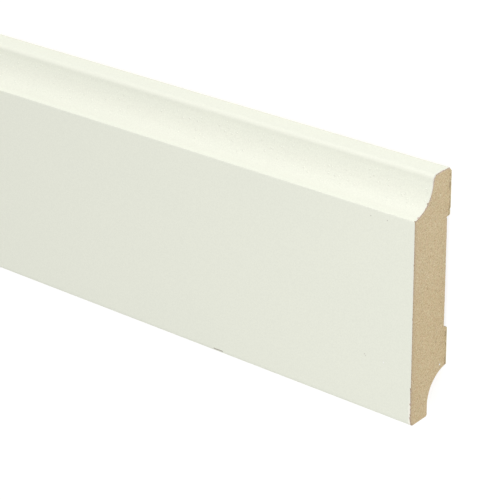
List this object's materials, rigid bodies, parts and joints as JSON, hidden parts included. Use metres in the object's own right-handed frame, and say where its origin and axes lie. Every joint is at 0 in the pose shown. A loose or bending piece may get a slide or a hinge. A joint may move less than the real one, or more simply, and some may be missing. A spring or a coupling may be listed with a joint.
{
  "type": "skirting board length",
  "caption": "Length of white coated MDF skirting board with a cove moulding under its top edge, a planed relief and a rear cove on its raw back, square cut ends.",
  "frame": {"origin": "under the middle of the board as it lies on its back pads, in the plane of the pads", "axes": "+X along the length, +Y from the bottom edge to the moulded top edge, +Z from the back to the face"},
  "size_m": [2.4, 0.07, 0.015],
  "materials": {
    "white_coated_mdf": "smooth warm white foil on face, moulding and top, satin",
    "raw_mdf": "raw medium density fibreboard on back, rear cove and sawn ends, matt"
  },
  "bodies": {
    "root": {"skirting_board": "white_coated_mdf"}
  },
  "joints": []
}
